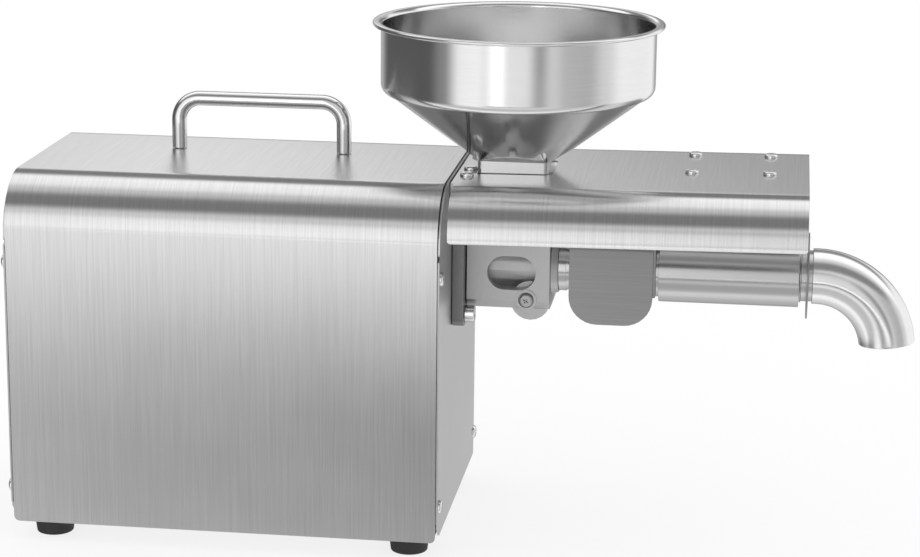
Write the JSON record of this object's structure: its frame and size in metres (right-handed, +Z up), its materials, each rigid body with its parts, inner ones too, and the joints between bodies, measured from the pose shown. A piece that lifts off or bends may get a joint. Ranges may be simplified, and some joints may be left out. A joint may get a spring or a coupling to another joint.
{
  "type": "screw oil press",
  "caption": "Tabletop screw oil press: stainless motor casing with carrying handle drives a horizontal press screw fed by a round hopper, with oil hood and curved cake outlet.",
  "frame": {"origin": "centre of the footprint of the whole machine, at the floor under the rubber feet", "axes": "+X from the motor end towards the discharge elbow, +Y towards the back, +Z up"},
  "size_m": [0.4759, 0.1532, 0.2751],
  "materials": {
    "brushed_stainless": "brushed",
    "polished_stainless": "polished",
    "stainless_fasteners": "turned, bright",
    "bead_blasted_steel": "bead blasted",
    "satin_steel": "satin",
    "gear_steel": "machined",
    "cast_aluminium": "cast",
    "motor_grey": "satin paint",
    "black_rubber": "matte",
    "black_plastic": "semi gloss",
    "fan_plastic": "matte"
  },
  "bodies": {
    "machine": {"casing_shell": "brushed_stainless", "end_plate_motor": "brushed_stainless", "end_plate_press": "brushed_stainless", "base_tray": "brushed_stainless", "press_cover": "brushed_stainless", "cover_hanger": "brushed_stainless", "cover_bracket": "brushed_stainless", "oil_hood": "brushed_stainless", "carry_handle": "polished_stainless", "heater_sleeve": "polished_stainless", "plate_screw_motor_front_top": "stainless_fasteners", "plate_screw_motor_front_low": "stainless_fasteners", "plate_screw_motor_rear_top": "stainless_fasteners", "plate_screw_motor_rear_low": "stainless_fasteners", "plate_screw_press_front_top": "stainless_fasteners", "plate_screw_press_front_low": "stainless_fasteners", "plate_screw_press_rear_top": "stainless_fasteners", "plate_screw_press_rear_low": "stainless_fasteners", "cover_screw_front_left": "stainless_fasteners", "cover_screw_front_right": "stainless_fasteners", "cover_screw_rear_left": "stainless_fasteners", "cover_screw_rear_right": "stainless_fasteners", "bracket_screw_1": "stainless_fasteners", "bracket_screw_2": "stainless_fasteners", "bracket_screw_3": "stainless_fasteners", "flange_bolt_front_low": "stainless_fasteners", "flange_bolt_front_top": "stainless_fasteners", "flange_bolt_rear_low": "stainless_fasteners", "flange_bolt_rear_top": "stainless_fasteners", "handle_screw_left": "stainless_fasteners", "handle_screw_right": "stainless_fasteners", "feed_block": "bead_blasted_steel", "adapter_flange": "satin_steel", "bearing_output": "gear_steel", "bearing_rear": "gear_steel", "gearbox_housing": "cast_aluminium", "gearbox_cover": "cast_aluminium", "motor_housing": "motor_grey", "foot_front_left": "black_rubber", "foot_front_right": "black_rubber", "foot_rear_left": "black_rubber", "foot_rear_right": "black_rubber", "motor_switch_body": "black_plastic", "heater_switch_body": "black_plastic", "power_inlet": "black_plastic"},
    "motor_rotor_unit": {"motor_rotor": "gear_steel", "cooling_fan": "fan_plastic"},
    "layshaft": {"layshaft_gears": "gear_steel"},
    "output_drive": {"output_gear": "gear_steel", "output_shaft": "gear_steel"},
    "barrel_unit": {"press_barrel": "polished_stainless", "outlet_nozzle": "polished_stainless", "drip_guard": "brushed_stainless"},
    "screw": {"press_screw": "polished_stainless"},
    "elbow": {"discharge_elbow": "polished_stainless"},
    "loose_hopper": {"hopper": "polished_stainless"},
    "clamp": {"clamp_screw": "stainless_fasteners"},
    "motor_switch": {"motor_rocker": "black_plastic"},
    "heater_switch": {"heater_rocker": "black_plastic"}
  },
  "joints": [
    {"name": "motor_spin", "type": "hinge", "parent": "machine", "child": "motor_rotor_unit", "pos_m": [-0.1323, 0, 0.0695], "axis": [1, 0, 0], "continuous": true},
    {"name": "layshaft_spin", "type": "hinge", "parent": "machine", "child": "layshaft", "pos_m": [-0.0523, 0, 0.0995], "axis": [1, 0, 0], "continuous": true},
    {"name": "output_spin", "type": "hinge", "parent": "machine", "child": "output_drive", "pos_m": [-0.0643, 0, 0.1445], "axis": [1, 0, 0], "continuous": true},
    {"name": "barrel_slide", "type": "slide", "parent": "machine", "child": "barrel_unit", "axis": [1, 0, 0], "range_m": [0, 0.18]},
    {"name": "screw_spin", "type": "hinge", "parent": "barrel_unit", "child": "screw", "pos_m": [0.0877, 0, 0.1445], "axis": [1, 0, 0], "continuous": true},
    {"name": "elbow_turn", "type": "hinge", "parent": "barrel_unit", "child": "elbow", "pos_m": [0.1847, 0, 0.1445], "axis": [1, 0, 0], "range_deg": [-90, 90]},
    {"name": "hopper_lift", "type": "slide", "parent": "machine", "child": "loose_hopper", "axis": [0, 0, 1], "range_m": [0, 0.09]},
    {"name": "clamp_turn", "type": "hinge", "parent": "machine", "child": "clamp", "pos_m": [0.0338, -0.0215, 0.1303], "axis": [0, -1, 0], "range_deg": [0, 720]},
    {"name": "motor_switch_rock", "type": "hinge", "parent": "machine", "child": "motor_switch", "pos_m": [-0.235, -0.03, 0.1385], "axis": [0, 1, 0], "range_deg": [0, 18]},
    {"name": "heater_switch_rock", "type": "hinge", "parent": "machine", "child": "heater_switch", "pos_m": [-0.235, 0, 0.1385], "axis": [0, 1, 0], "range_deg": [0, 18]}
  ],
  "couplings": [
    {"joint": "layshaft_spin", "follows": "motor_spin", "ratio": -0.25},
    {"joint": "output_spin", "follows": "motor_spin", "ratio": 0.0625},
    {"joint": "screw_spin", "follows": "motor_spin", "ratio": 0.0625}
  ]
}
